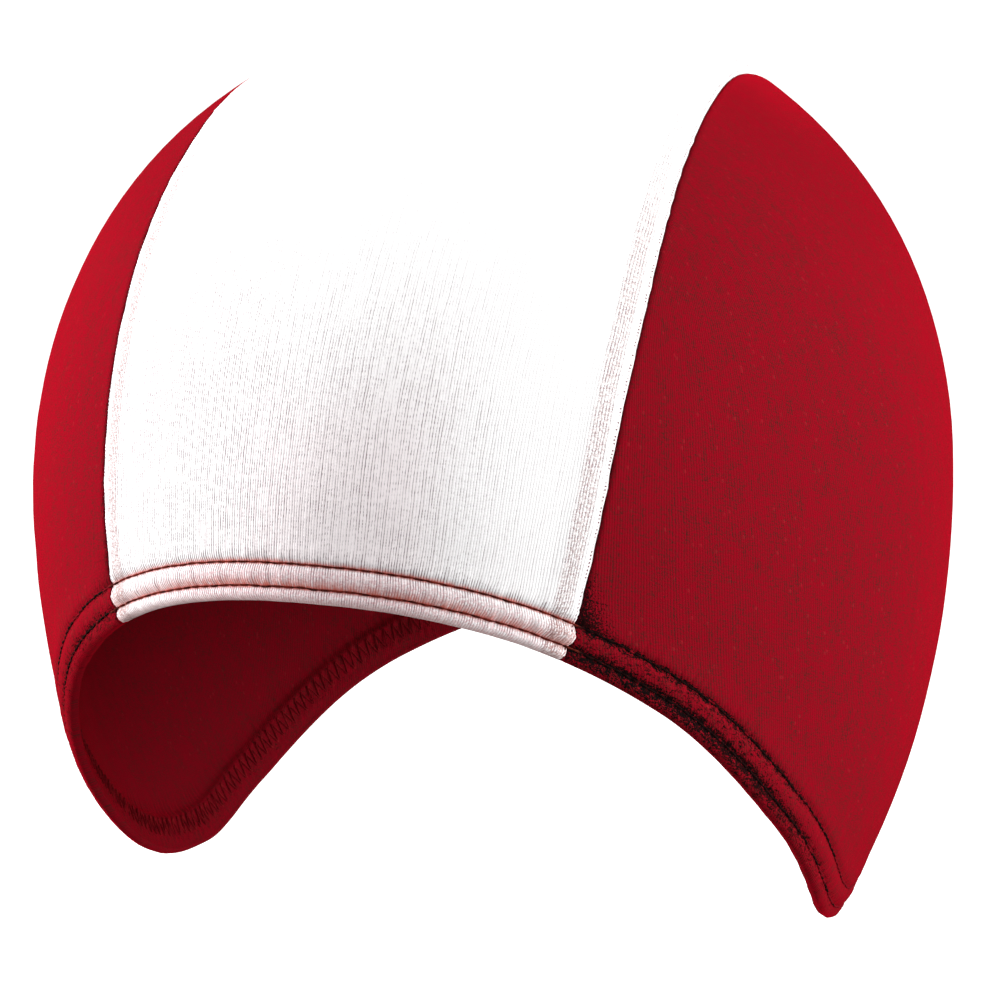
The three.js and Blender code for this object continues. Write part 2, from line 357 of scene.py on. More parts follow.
def skins(grid, is_centre):
    """Outer and inner points of a panel, and what its materials need at each point."""
    p, from_hem, along, across, along_knit = grid
    normal = normals_at(p)
    slope = np.sqrt(np.maximum(1 - normal[..., 0] ** 2, LEAST_SLOPE))
    from_seam = np.abs(outside_seam(p)) / slope
    pitch = pitch_of(p)
    along_seam = np.interp(pitch, PITCHES, PITCH_LENGTHS)
    shown = smooth_step(*SEAM_FADE, from_hem)
    in_hem = smooth_step(HEM_BAND, HEM_BAND - HEM_FADE, from_hem)
    rise = in_hem * hem_relief(from_hem, along) - CORNER_FALL * bump(from_seam, CORNER_WIDTH) * in_hem
    rise = rise - shown * seam_relief(from_seam, along_seam, is_centre)
    if is_centre:
        rise = rise + in_hem * folded_allowance(from_hem, from_seam)
    rise = rise + (1 - in_hem) * waves(pitch, FIELD_WAVES)
    wall = mix(CLOTH_WALL, smooth_table(HEM_SECTION, from_hem, 2), in_hem)
    if is_centre:
        wall = wall + shown * smooth_table(SEAM_SECTION, from_seam, 2)
    outer = p + normal * rise[..., None]
    inner = outer - normal * wall[..., None]
    # The seam stitches draw its line in and out a little.
    drawn = bump(from_seam, SEAM_LINE_WIDTH) * waves(along_seam, SEAM_LINE_WAVES)
    outer[..., 0] += np.sign(p[..., 0]) * drawn
    return {
        "outer": outer, "inner": inner, "from_hem": from_hem, "from_seam": from_seam,
        "across": across, "along_knit": along_knit, "along_hem": along,
    }


# Distances from the hem edge of the rows of points in the hem band.
BAND_ROWS = np.concatenate(
    [np.linspace(0, 0.9, 5)[:-1], np.linspace(0.9, 8.7, 24)[:-1], np.linspace(8.7, HEM_BAND, 5)]
)
# Points across a panel, and rows of them over its open cloth.
CENTRE_COLUMNS = 227
CENTRE_FIELD = 120
SIDE_COLUMNS = 401
SIDE_FIELD = 38
CENTRE_SHARES = np.linspace(-1, 1, CENTRE_COLUMNS)
# The centre panel's knit reaches this far to each side, whatever its width.
CENTRE_KNIT_HALF = 42.0
# The courses of a side panel fall by this much for every millimetre towards the back.
COURSE_SKEW = 0.42
# Near the top of a side panel the wales keep at least this far from the line they would meet on.
WALE_KEEP = 19
WALE_KEEP_LENGTH = 32
# Distances from the seam of the closer rows beside it.
ROWS_BY_SEAM = (0, 0.15, 0.35, 0.6, 0.9, 1.3, 2.0, 3.2)
# The usual distance of the cloth from the middle of the head.
HEAD_RADIUS = 80
# Least length of a way from the hem band up to the seam, and its least angle in radians. An angle
# below NO_WAY counts as none.
LEAST_LENGTH = 1e-3
LEAST_ANGLE = 1e-6
NO_WAY = 1e-4


def hem_band(turn):
    """Points of the hem band at these turns, and their distances from the hem edge."""
    return above_hem(turn, BAND_ROWS[:, None]), np.broadcast_to(BAND_ROWS[:, None], turn.shape)


def along_hem(turn):
    """Length along the hem edge from the middle of the forehead, negative on the wearer's right."""
    right = turn > 180
    length = np.interp(np.where(right, 360 - turn, turn), TURNS, HEM_LENGTHS)
    return np.where(right, -length, length)


def centre_band(middle_turn, way):
    """The hem band of the centre panel, over the forehead or at the back."""
    bulge = smooth_table(SEAM_BULGE, BAND_ROWS)
    reach = np.abs(seam_turn(BAND_ROWS, middle_turn, bulge - SEAM_GAP / 2) - middle_turn)
    turn = middle_turn + way * CENTRE_SHARES * reach[:, None]
    return (*hem_band(turn), along_hem(turn))


def centre_share(p):
    """Where a point lies between the edges of the centre panel, from -1 to 1."""
    return p[..., 0] / (seam_half_width(pitch_of(p)) - SEAM_GAP / 2)


def centre_grid():
    """Points of the centre panel, their distances from the hem and along it, and their knit."""
    front = centre_band(0, 1)
    back = [values[::-1] for values in centre_band(180, -1)]
    first, last = front[0][-1], back[0][0]
    done = (np.arange(1, CENTRE_FIELD) / CENTRE_FIELD)[:, None]
    pitch = mix(pitch_of(first), pitch_of(last), done)
    share = mix(centre_share(first), centre_share(last), done)
    field = at_share(pitch, share, -share * SEAM_GAP / 2)
    open_cloth = (field, distance_from_hem(field), np.zeros(pitch.shape))
    p, from_hem, along = (np.concatenate(parts) for parts in zip(front, open_cloth, back))
    across = np.broadcast_to(CENTRE_SHARES * CENTRE_KNIT_HALF, from_hem.shape)
    return p, from_hem, along, across, np.interp(pitch_of(p), PITCHES, PITCH_LENGTHS)


def side_knit(p):
    """Where a point of a side panel lies in the knit: across the wales and along them."""
    outward = np.abs(p[..., 0]) - WALE_AXIS
    near_top = bump(p[..., 1], WALE_KEEP_LENGTH)
    outward = outward + near_top * np.maximum(WALE_KEEP - outward, 0)
    across = np.interp(np.arctan2(p[..., 1], outward), WALE_ANGLES, LEVEL_LENGTHS)
    around = np.hypot(p[..., 0], p[..., 1])
    height = np.linalg.norm(p, axis=-1) * np.arctan2(p[..., 2], around)
    return across, height + COURSE_SKEW * across


def side_turns(steps):
    """Turns of the points in the hem band of a side panel, from seam to seam."""
    bulge = smooth_table(SEAM_BULGE, BAND_ROWS)
    first = seam_turn(BAND_ROWS, 0, bulge + SEAM_GAP / 2)
    last = seam_turn(BAND_ROWS, 180, bulge + SEAM_GAP / 2)
    # Even steps along the hem edge, with both ends on the seams.
    start, end = np.interp([first[0], last[0]], TURNS, HEM_LENGTHS)
    edge_turns = np.interp(mix(start, end, steps), HEM_LENGTHS, TURNS)
    share = (edge_turns - first[0]) / (last[0] - first[0])
    return mix(first[:, None], last[:, None], share)


def side_field(low, steps):
    """The open cloth of a side panel, in ways that lead from the hem band up to the seam."""
    pitch = mix(pitch_of(low[0]), pitch_of(low[-1]), steps)
    a, b = unit(low), unit(at_share(pitch, 1.0, SEAM_GAP / 2))
    angle = np.arccos(np.clip((a * b).sum(-1), -1, 1))
    length = np.maximum(angle * HEAD_RADIUS, LEAST_LENGTH)
    # Rows stand closer together beside the seam, over at most half of the way to it.
    near_seam = np.array(ROWS_BY_SEAM)
    scale = np.minimum(1 / length, 0.5 / near_seam[-1])
    even = np.arange(1, SIDE_FIELD)[:, None] / SIDE_FIELD * (1 - near_seam[-1] * scale)
    fine = 1 - near_seam[::-1][:, None] * scale
    places = np.concatenate([even, fine])
    # Where the hem band meets the seam there is no way, and all rows share one point.
    no_way = angle < NO_WAY
    safe = np.maximum(angle, LEAST_ANGLE)
    share_a = np.sin((1 - places) * safe)[..., None]
    share_b = np.sin(places * safe)[..., None]
    field = onto_form((a * share_a + b * share_b) / np.sin(safe)[:, None])
    field[:, no_way] = low[no_way]
    return field


def side_grid():
    """The hem band and the open cloth of a side panel, with the values of centre_grid."""
    steps = np.linspace(0, 1, 2 * SIDE_COLUMNS - 1)
    turn = side_turns(steps)
    band, from_hem = hem_band(turn)
    # The open cloth has half as many points across.
    field = side_field(band[-1, ::2], steps[::2])
    return [
        (band, from_hem, along_hem(turn), *side_knit(band)),
        (field, distance_from_hem(field), np.zeros(field.shape[:-1]), *side_knit(field)),
    ]


def mirror(skin):
    flip = np.array([-1.0, 1.0, 1.0])
    return {**skin, "outer": skin["outer"] * flip, "inner": skin["inner"] * flip}


def strip_faces(low, high):
    """Faces between two rows of points. The upper row has as many points, or every second one."""
    if len(low) == len(high):
        return np.stack([low[:-1], low[1:], high[1:], high[:-1]], 1).tolist()
    return np.stack([low[:-2:2], low[1:-1:2], low[2::2], high[1:], high[:-1]], 1).tolist()


def mesh_object(name, points, faces):
    """A smooth object from points in metres."""
    mesh = bpy.data.meshes.new(name)
    mesh.from_pydata(points.tolist(), [], faces)
    mesh.validate()
    mesh.shade_smooth()
    made = bpy.data.objects.new(name, mesh)
    bpy.context.scene.collection.objects.link(made)
    return made


def shell_faces(rows, count):
    """Faces of both skins and all four edges. Inner points come count after the outer ones."""
    faces = []
    for low, high in zip(rows[:-1], rows[1:]):
        strip = strip_faces(low, high)
        faces.extend(strip)
        faces.extend([[v + count for v in face[::-1]] for face in strip])
    first_ends = np.array([row[0] for row in rows])
    last_ends = np.array([row[-1] for row in rows])[::-1]
    for line in (first_ends, last_ends, rows[0][::-1], rows[-1]):
        faces.extend(np.stack([line[:-1], line[1:], line[1:] + count, line[:-1] + count], 1).tolist())
    return faces


def weld(points, faces):
    """The points that stay when close ones are joined, and the faces between them."""
    _, kept, welded = np.unique(
        np.round(points / WELD).astype(np.int64), axis=0, return_index=True, return_inverse=True
    )
    welded = welded.ravel().tolist()
    polygons = []
    for face in faces:
        face = [welded[v] for v in face]
        ring = [v for i, v in enumerate(face) if v != face[i - 1]]
        if len(ring) > 2 and len(set(ring)) == len(ring):
            polygons.append(ring)
    return kept, polygons


def add_knit_values(mesh, values):
    """The UV map of the knit, and the distances that the materials read."""
    corners = np.empty(len(mesh.loops), np.int64)
    mesh.loops.foreach_get("vertex_index", corners)
    uv = mesh.uv_layers.new(name="knit")
    flat = np.stack([values["across"], values["along_knit"]], 1)[corners].astype(np.float32)
    uv.data.foreach_set("uv", flat.ravel())
    for key in ("from_hem", "from_seam", "along_hem"):
        layer = mesh.attributes.new(key, "FLOAT", "POINT")
        layer.data.foreach_set("value", values[key].astype(np.float32))


def closed_mesh(name, blocks, mirrored=False):
    """One closed mesh from the outer and inner skins of a panel, welded along all four edges."""
    outer = np.concatenate([block["outer"].reshape(-1, 3) for block in blocks])
    inner = np.concatenate([block["inner"].reshape(-1, 3) for block in blocks])
    rows, start = [], 0
    for block in blocks:
        for row in block["outer"]:
            rows.append(np.arange(start, start + len(row)))
            start += len(row)
    faces = shell_faces(rows, len(outer))
    if mirrored:
        faces = [face[::-1] for face in faces]
    points = (np.concatenate([outer, inner]) + SEAT) * MM
    kept, polygons = weld(points, faces)
    made = mesh_object(name, points[kept], polygons)
    values = {
        key: np.tile(np.concatenate([block[key].ravel() for block in blocks]), 2)[kept]
        for key in ("from_hem", "from_seam", "along_hem", "across", "along_knit")
    }
    add_knit_values(made.data, values)
    return made


def thread_object(name, path, normal, radius, sides=8, closed=True):
    """A thread along a path that lies on a surface with these normals. Its ends join, or are capped."""
    along = unit(np.gradient(path, axis=0))
    sideways = unit(np.cross(along, normal))
    outward = unit(np.cross(sideways, along))
    turns = np.arange(sides) * 2 * np.pi / sides
    ring = (
        sideways[:, None, :] * np.cos(turns)[None, :, None]
        + outward[:, None, :] * np.sin(turns)[None, :, None]
    )
    thick = np.broadcast_to(radius, path.shape[:1])
    points = path[:, None, :] + ring * thick[:, None, None]
    index = np.arange(len(path) * sides).reshape(-1, sides)
    if closed:
        index = np.concatenate([index, index[:1]])
    a, b = index[:-1], np.roll(index[:-1], -1, axis=1)
    c, d = np.roll(index[1:], -1, axis=1), index[1:]
    faces = np.stack([a, b, c, d], -1).reshape(-1, 4).tolist()
    if not closed:
        faces.append(index[0][::-1].tolist())
        faces.append(index[-1].tolist())
    return mesh_object(name, (points.reshape(-1, 3) + SEAT) * MM, faces)


def hem_along(steps_per_stitch):
    """Even places round the whole hem, with a whole number of stitches."""
    total = HEM_LENGTHS[np.searchsorted(TURNS, 180)]
    stitches = int(round(2 * total / STITCH_PITCH))
    return np.linspace(-total, total, stitches * steps_per_stitch, endpoint=False)


def hem_thread(name, row):
    """One row of topstitching round the hem, drawn down into the cloth at each needle hole."""
    along = hem_along(TOP_STEPS)
    turn = np.interp(along, HEM_LENGTHS, TURNS)
    p = above_hem(turn, row + waves(along, THREAD_WANDER, int(row)))
    normal = normals_at(p)
    rise = hem_relief(row + 0 * along, along)
    drawn = np.cos(np.pi * along / STITCH_PITCH) ** 6
    path = p + normal * (rise + TOP_LIFT - NEEDLE_PULL * drawn)[:, None]
    return thread_object(name, path, normal, TOP_RADIUS - NEEDLE_THINNING * drawn)


def hem_looper(name):
    """The looper threads on the inside of the hem, to and fro over its raw edge between the rows."""
    along = hem_along(LOOPER_STEPS)
    turn = np.interp(along, HEM_LENGTHS, TURNS)
    swing = 2 / np.pi * np.arcsin(LOOPER_CORNERS * np.sin(2 * np.pi * along / STITCH_PITCH))
    low, high = STITCH_ROWS
    distance = (low + high) / 2 + (high - low) / 2 * swing
    p = above_hem(turn, distance)
    normal = normals_at(p)
    depth = hem_relief(distance, along) - smooth_table(HEM_SECTION, distance, 2) - LOOPER_DEPTH
    path = p + normal * depth[:, None]
    return thread_object(name, path, normal, LOOPER_RADIUS, INSIDE_SIDES)


def overlock(name, side):
    """The overlock loops on the inside, over the cut edge of the allowance of one seam."""
    start = np.array([OVERLOCK_START])
    first, last = (
        float(pitch_of(above_hem(seam_turn(start, middle_turn, 0.0), OVERLOCK_START))[0])
        for middle_turn in (0, 180)
    )
    length = np.interp(last, PITCHES, PITCH_LENGTHS) - np.interp(first, PITCHES, PITCH_LENGTHS)
    steps = int(length / OVERLOCK_PITCH) * OVERLOCK_STEPS
    pitch = np.linspace(first, last, steps)
    phase = np.arange(steps) * 2 * np.pi / OVERLOCK_STEPS
    inward = mix(*OVERLOCK_REACH, 0.5 - 0.5 * np.cos(phase))
    p = at_share(pitch, 1.0, -inward)
    normal = normals_at(p)
    wall = CLOTH_WALL + smooth_table(SEAM_SECTION, inward, 2)
    path = p - normal * (smooth_table(SEAM_SECTION, inward) + wall + OVERLOCK_DEPTH)[:, None]
    flip = np.array([side, 1, 1])
    return thread_object(name, path * flip, normal * flip, OVERLOCK_RADIUS, INSIDE_SIDES, False)


# Colours in linear light.
WHITE = (1, 1, 1, 1)
WHITE_CLOTH = (0.96, 0.945, 0.95, 1)
ROSY_CLOTH = (0.965, 0.895, 0.91, 1)
WHITE_GAPS = (0.22, 0.15, 0.17, 1)
HEM_BLUSH_AND_SHADE = (0.62, 0.31, 0.33, 1)
ROW_TINT = (0.66, 0.15, 0.10, 1)
ROW_GLOW = (0.60, 0.06, 0.035, 1)
HEM_END_TINT = (0.50, 0.27, 0.24, 1)
HEM_EDGE_TINT_AND_SHADE = (0.66, 0.36, 0.34, 1)
ALLOWANCE_SPECKS = (0.36, 0.22, 0.21, 1)
SEAM_HOLES = (0.10, 0.02, 0.03, 1)
WHITE_DITCH = (0.35, 0.12, 0.13, 1)
RED_CLOTH = (0.238, 0.0022, 0.0100, 1)
RED_GAPS = (0.062, 0.0120, 0.0105, 1)
RED_LIGHTER = (0.42, 0.03, 0.035, 1)
# Near black painted shade for the hollows of the red hem.
RED_PAINTED_SHADE = (0.004, 0.0035, 0.0035, 1)
RED_DITCH_SHADE = (0.03, 0.002, 0.004, 1)
RED_SHEEN = (1.0, 0.0, 0.02, 1)
TOPSTITCHING = ((0.045, 0.008, 0.006, 1), (0.15, 0.020, 0.013, 1))
LOOPER_THREAD = ((0.17, 0.004, 0.009, 1), (0.26, 0.010, 0.014, 1))
# On the red panels the thread goes from near black painted shade to its own red.
THREAD_ON_RED_SHADE_TO_RED = ((0.006, 0.0025, 0.0025, 1), (0.15, 0.003, 0.008, 1))

# Width of a wale and height of a course.
WHITE_GAUGE = (0.42, 0.46)
RED_GAUGE = (0.52, 0.6)
# The wales drift sideways by up to this many wales.
WALE_DRIFT = 1.8
HOLE_PITCH = 0.74
# Depth of the bumps in metres, and how rough every face is.
WHITE_BUMP = 0.00004
RED_BUMP = 0.00003
THREAD_BUMP = 0.00005
ROUGHNESS = 0.85
SHEEN_ROUGHNESS = 0.3

# Random patterns in the knit: scale across and along, seed, detail, roughness.
DRIFT = (0.25, 0.06, 0.0, 2.0, 0.5)
BROKEN_RIBS = (0.5, 0.12, 9.0, 4.0, 0.7)
RIB_LENGTHS = (2.0, 0.08, 21.0, 3.0, 0.6)
WISPS = (1.7, 0.3, 4.0, 4.0, 0.75)
WHITE_GRAIN = (2.3, 2.0, 14.0, 2.0, 0.9)
RED_CLOUD = (0.22, 0.16, 1.0, 5.0, 0.75)
RED_STREAKS = (2.2, 0.6, 6.0, 5.0, 0.8)
RED_DASHES = (0.7, 3.2, 11.0, 4.0, 0.75)
RED_GRAIN = (2.4, 2.4, 16.0, 2.0, 0.9)
# The same along the hem and away from it, for the painted shade of the hem, and along a seam.
SHADE_PATCHES = (0.6, 1.4, 2.0, 8.0, 0.88)
HOLE_WANDER = (0.8, 0.0, 7.0, 3.0, 0.6)

# Random patterns in the thread: scale, detail, roughness.
THREAD_SHADES = (700.0, 2.0, 0.6)
THREAD_DASHES = (360.0, 1.0, 0.5)
THREAD_TWIST = (2600.0, 1.0, 0.5)

# Where a look changes over the cap, in metres: X is the wearer's left, Y the back, Z up.
RIGHT_HALF = (0.0, -0.04)
FRONT_HALF = (0.005, -0.06)
BELOW_CROWN = (-0.006, -0.022)
LEFT_SEAM_PAINTED_LIGHT = (0.013, 0.032)
RIGHT_SEAM_SHADE = (0.0, -0.028)
ROSY_LEFT_END = (0.025, 0.012)
ROSY_RIGHT_END = (-0.022, -0.006)
THREAD_SHADE_END = (-0.062, 0.005)
SIDE_PANELS = (0.0395, 0.0405)
# The same in millimetres from the hem edge.
CROWN_PAINTED_LIGHT = (28.0, 70.0)
ROSY_HEIGHT = (45.0, 20.0)
BLUSH_AND_SHADE_HEIGHT = (7.2, 4.5)
HEM_END_HEIGHT = (7.0, 5.8)
HEM_EDGE_SHADE_HEIGHT = (1.3, 0.1)
SHADE_HEIGHT = (6.3, 8.5)
CORNER_SHADE_HEIGHT = (5.6, 6.6)
# In millimetres from the seam, then along the hem from the middle of the forehead.
BAND_START = (1.2, 2.6)
BAND_END = (5.6, 4.4)
HEM_END_WIDTH = (4.6, 3.8)
WHITE_DITCH_WIDTH = (0.2, 0.0)
RED_DITCH_SHADE_WIDTH = (0.5, 0.0)
BLUSH_AND_SHADE_RIGHT_END = (-38.0, -12.0)
BLUSH_AND_SHADE_LEFT_END = (50.0, 22.0)
# Reach of the tint above each row of stitching, and its strength.
ROW_TINTS = ((STITCH_ROWS[0], 2.4, 0.9), (STITCH_ROWS[1], 1.2, 0.85))


class Nodes:
    """Short ways to add and join shader nodes."""

    def __init__(self, name):
        self.material = bpy.data.materials.new(name)
        self.material.use_nodes = True
        self.tree = self.material.node_tree
        self.tree.nodes.clear()

    def add(self, kind, **inputs):
        node = self.tree.nodes.new(kind)
        for key, value in inputs.items():
            self.give(node.inputs[key], value)
        return node

    def give(self, socket, value):
        if isinstance(value, bpy.types.NodeSocket):
            self.tree.links.new(value, socket)
        else:
            socket.default_value = value

    def math(self, operation, a, b=0.0, clamp=False):
        node = self.tree.nodes.new("ShaderNodeMath")
        node.operation = operation
        node.use_clamp = clamp
        for socket, value in zip(node.inputs, (a, b)):
            self.give(socket, value)
        return node.outputs[0]

    def times(self, first, *others):
        for other in others:
            first = self.math("MULTIPLY", first, other)
        return first

    def plus(self, first, *others):
        for other in others:
            first = self.math("ADD", first, other)
        return first

    def minus(self, first, other):
        return self.math("SUBTRACT", first, other)

    def off_middle(self, value):
        """How far a number is from halfway between two whole numbers."""
        return self.math("ABSOLUTE", self.minus(self.math("FRACT", value), 0.5))

    def range(self, value, low, high, to_low=0.0, to_high=1.0, smooth=True):
        """The value carried from one range into another, and kept within it."""
        node = self.tree.nodes.new("ShaderNodeMapRange")
        node.interpolation_type = "SMOOTHSTEP" if smooth else "LINEAR"
        for socket, given in zip(node.inputs, (value, low, high, to_low, to_high)):
            self.give(socket, given)
        return node.outputs[0]

    def attribute(self, name):
        node = self.tree.nodes.new("ShaderNodeAttribute")
        node.attribute_name = name
        return node.outputs["Fac"]

    def place(self, axis):
        """The place of a point along one axis of the cap, in metres."""
        where = self.add("ShaderNodeTexCoord").outputs["Object"]
        return self.add("ShaderNodeSeparateXYZ", Vector=where).outputs[axis]

    def blend(self, share, a, b):
        node = self.tree.nodes.new("ShaderNodeMix")
        node.data_type = "RGBA"
        self.give(node.inputs[0], share)
        self.give(node.inputs[6], a)
        self.give(node.inputs[7], b)
        return node.outputs[2]

    def join(self, x, y, z=0.0):
        return self.add("ShaderNodeCombineXYZ", X=x, Y=y, Z=z).outputs[0]

    def noise(self, vector, scale, detail, rough):
        node = self.add("ShaderNodeTexNoise", Vector=vector, Scale=scale, Detail=detail, Roughness=rough)
        return node.outputs["Fac"]

    def pattern(self, x, y, kind):
        """Smooth random values from two coordinates, each with a scale of its own."""
        x_scale, y_scale, seed, detail, rough = kind
        x, y = self.times(x, x_scale), self.times(y, y_scale)
        return self.noise(self.join(x, y, seed), 1.0, detail, rough)

    def speck(self, vector):
        return self.add("ShaderNodeTexWhiteNoise", Vector=vector).outputs["Value"]

    def finish(self, colour, height, bump_depth, sheen, sheen_tint, specular):
        shader = self.tree.nodes.new("ShaderNodeBsdfPrincipled")
        bumps = self.add("ShaderNodeBump", Strength=1.0, Distance=bump_depth, Height=height)
        self.give(shader.inputs["Normal"], bumps.outputs[0])
        self.give(shader.inputs["Base Color"], colour)
        self.give(shader.inputs["Roughness"], ROUGHNESS)
        self.give(shader.inputs["Sheen Weight"], sheen)
        self.give(shader.inputs["Sheen Roughness"], SHEEN_ROUGHNESS)
        self.give(shader.inputs["Sheen Tint"], sheen_tint)
        self.give(shader.inputs["Specular IOR Level"], specular)
        output = self.tree.nodes.new("ShaderNodeOutputMaterial")
        self.tree.links.new(shader.outputs[0], output.inputs[0])
        return self.material


class Knit:
    """A jersey knit whose wales run along V, and where each point of it lies on the cap."""

    def __init__(self, nodes, gauge, grain):
        wale, course = gauge
        uv = nodes.tree.nodes.new("ShaderNodeUVMap")
        uv.uv_map = "knit"
        split = nodes.add("ShaderNodeSeparateXYZ", Vector=uv.outputs[0])
        self.nodes = nodes
        self.across, self.along = split.outputs[0], split.outputs[1]
        drift = nodes.times(self.pattern(DRIFT), WALE_DRIFT)
        u = nodes.plus(nodes.math("DIVIDE", self.across, wale), drift)
        cell_u = nodes.math("FLOOR", u)
        self.wale_random = nodes.speck(nodes.join(cell_u, 3.0))
        v = nodes.plus(nodes.math("DIVIDE", self.along, course), nodes.times(self.wale_random, 3.0))
        self.cell_random = nodes.speck(nodes.join(cell_u, nodes.math("FLOOR", v), 5.0))
        side, middle = nodes.off_middle(u), nodes.off_middle(v)
        rib = nodes.minus(1.0, nodes.range(side, 0.1, 0.5))
        self.height = nodes.minus(rib, nodes.times(nodes.range(middle, 0.25, 0.5), 0.3))
        # The gap between two wales, the dash of one stitch in it, and every third gap.
        self.gap = nodes.range(side, 0.24, 0.46)
        self.dash = nodes.range(middle, 0.5, 0.3)
        third = nodes.math("FRACT", nodes.math("DIVIDE", nodes.plus(cell_u, 0.5), 3.0))
        self.third = nodes.math("LESS_THAN", third, 0.34)
        self.from_hem, self.from_seam = nodes.attribute("from_hem"), nodes.attribute("from_seam")
        self.along_hem = nodes.attribute("along_hem")
        self.grain = self.pattern(grain)

    def pattern(self, kind):
        return self.nodes.pattern(self.across, self.along, kind)

    def near_row(self, row, above, below):
        """Nearness to a row of stitching, fading out over these distances above and below it."""
        up = self.nodes.minus(self.from_hem, row)
        return self.nodes.times(self.nodes.range(up, 0.0, above, 1.0, 0.0), self.nodes.range(up, -below, 0.0))


def allowance_band(nodes, knit):
    """Where the seam allowance lies under the white cloth. It shows less over the crown."""
    return nodes.times(
        nodes.range(knit.from_seam, *BAND_START),
        nodes.range(knit.from_seam, *BAND_END),
        nodes.range(nodes.place(2), *BELOW_CROWN, 0.3, 1.0),
    )


def white_gaps(nodes, knit, band, right_side_shade):
    """How dark the gaps between the wales of the white panel are."""
    stipple = nodes.times(nodes.math("POWER", knit.cell_random, 1.6), knit.dash)
    lines = nodes.times(
        knit.third,
        nodes.plus(nodes.times(knit.cell_random, 0.3), 0.55),
        nodes.range(knit.pattern(RIB_LENGTHS), 0.35, 0.6, 0.1, 1.1),
    )
    strength = nodes.plus(nodes.times(stipple, 0.8), lines)
    broken = nodes.range(knit.pattern(BROKEN_RIBS), 0.3, 0.6, 0.45, 1.1)
    strength = nodes.plus(nodes.times(strength, broken), 0.05)
    # The lines are painted fainter over the crown and towards the seam on the wearer's left: painted light,
    # where the lamps fall brightest on the knit.
    strength = nodes.times(
        strength,
        nodes.range(knit.from_hem, *CROWN_PAINTED_LIGHT, 1.25, 0.22),
        nodes.range(nodes.place(0), *LEFT_SEAM_PAINTED_LIGHT, 1.0, 0.33),
    )
    # The stitching draws the wales apart, so that they show as short dark ribs beside each row.
    low_row, high_row = STITCH_ROWS
    short = nodes.times(
        nodes.math("MAXIMUM", knit.near_row(low_row, 3.6, 2.4), knit.near_row(high_row, 3.0, 2.4)),
        nodes.range(knit.wale_random, 0.2, 0.8, 0.25, 1.6),
        nodes.range(knit.cell_random, 0.1, 0.6, 0.4, 1.0),
    )
    strength = nodes.plus(strength, short, nodes.times(band, nodes.times(stipple, 2.0)))
    # Painted shade: darker gaps towards the seam on the wearer's right, against the strong side light there.
    strength = nodes.times(strength, nodes.plus(nodes.times(right_side_shade, 1.8), 1.0))
    return nodes.math("MULTIPLY", knit.gap, strength, clamp=True)


def rosy_tint(nodes, knit):
    """The white cloth is a little rosier over the lower middle of the front."""
    return nodes.times(
        nodes.range(nodes.place(0), *ROSY_LEFT_END),
        nodes.range(nodes.place(0), *ROSY_RIGHT_END),
        nodes.range(knit.from_hem, *ROSY_HEIGHT),
    )


def tint_white_hem(nodes, knit, colour):
    """The red thread at the back of the hem shows through, most of all at each row of stitching. Over the
    middle of the front the hem is also painted darker, painted shade where it faces down.
    """
    middle = nodes.times(
        nodes.range(knit.along_hem, *BLUSH_AND_SHADE_RIGHT_END, 0.3, 1.0),
        nodes.range(knit.along_hem, *BLUSH_AND_SHADE_LEFT_END, 0.6, 1.0),
    )
    # Pink of the red thread showing through, with painted shade where the hem faces down, most in the middle
    # of the front.
    blush_and_shade = nodes.times(
        nodes.range(knit.from_hem, *BLUSH_AND_SHADE_HEIGHT),
        nodes.range(knit.grain, 0.36, 0.66, 0.1, 0.7),
        middle,
    )
    colour = nodes.blend(blush_and_shade, colour, HEM_BLUSH_AND_SHADE)
    wisps = knit.pattern(WISPS)
    for row, reach, strong in ROW_TINTS:
        tint = nodes.times(
            nodes.math("POWER", knit.near_row(row, reach, 0.5), 1.4),
            nodes.range(wisps, 0.32, 0.6, 0.12, strong),
            nodes.plus(nodes.times(middle, 0.7), 0.3),
        )
        colour = nodes.blend(tint, colour, ROW_TINT)
        glow = nodes.times(knit.near_row(row, 0.55, 0.5), 0.75)
        colour = nodes.blend(glow, colour, ROW_GLOW)
    ends = nodes.times(
        nodes.range(knit.from_seam, *HEM_END_WIDTH),
        nodes.range(knit.from_hem, *HEM_END_HEIGHT),
        nodes.range(knit.grain, 0.4, 0.62, 0.0, 0.7),
    )
    colour = nodes.blend(ends, colour, HEM_END_TINT)
    # The rounded bottom edge is painted mauve, partly a tint of the cloth and partly painted shade where it
    # turns under.
    edge = nodes.times(nodes.range(knit.from_hem, *HEM_EDGE_SHADE_HEIGHT), 0.5)
    return nodes.blend(edge, colour, HEM_EDGE_TINT_AND_SHADE)


